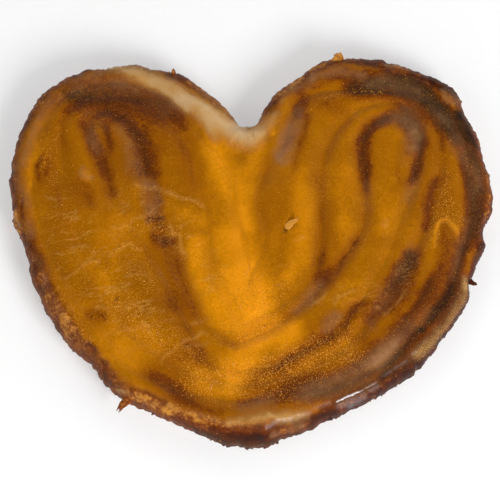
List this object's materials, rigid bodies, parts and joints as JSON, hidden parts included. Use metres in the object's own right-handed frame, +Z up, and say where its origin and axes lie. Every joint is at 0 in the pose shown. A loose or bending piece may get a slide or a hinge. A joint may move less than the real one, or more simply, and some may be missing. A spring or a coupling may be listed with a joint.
{
  "type": "palmier pastry",
  "caption": "Large glazed palmier: a flat heart of rolled and folded puff pastry with a ragged browned rim and a notch between its lobes.",
  "frame": {"origin": "centre of the pastry's width and length, on the surface it lies on", "axes": "+X is the width from the left lobe to the right lobe, +Y points from the tip to the notch, +Z is up"},
  "size_m": [0.1317, 0.11, 0.0142],
  "materials": {
    "crust": "caramelised puff pastry under a thin sugar glaze, glossy on top and drier on the wall"
  },
  "bodies": {
    "root": {"palmier": "crust"}
  },
  "joints": []
}
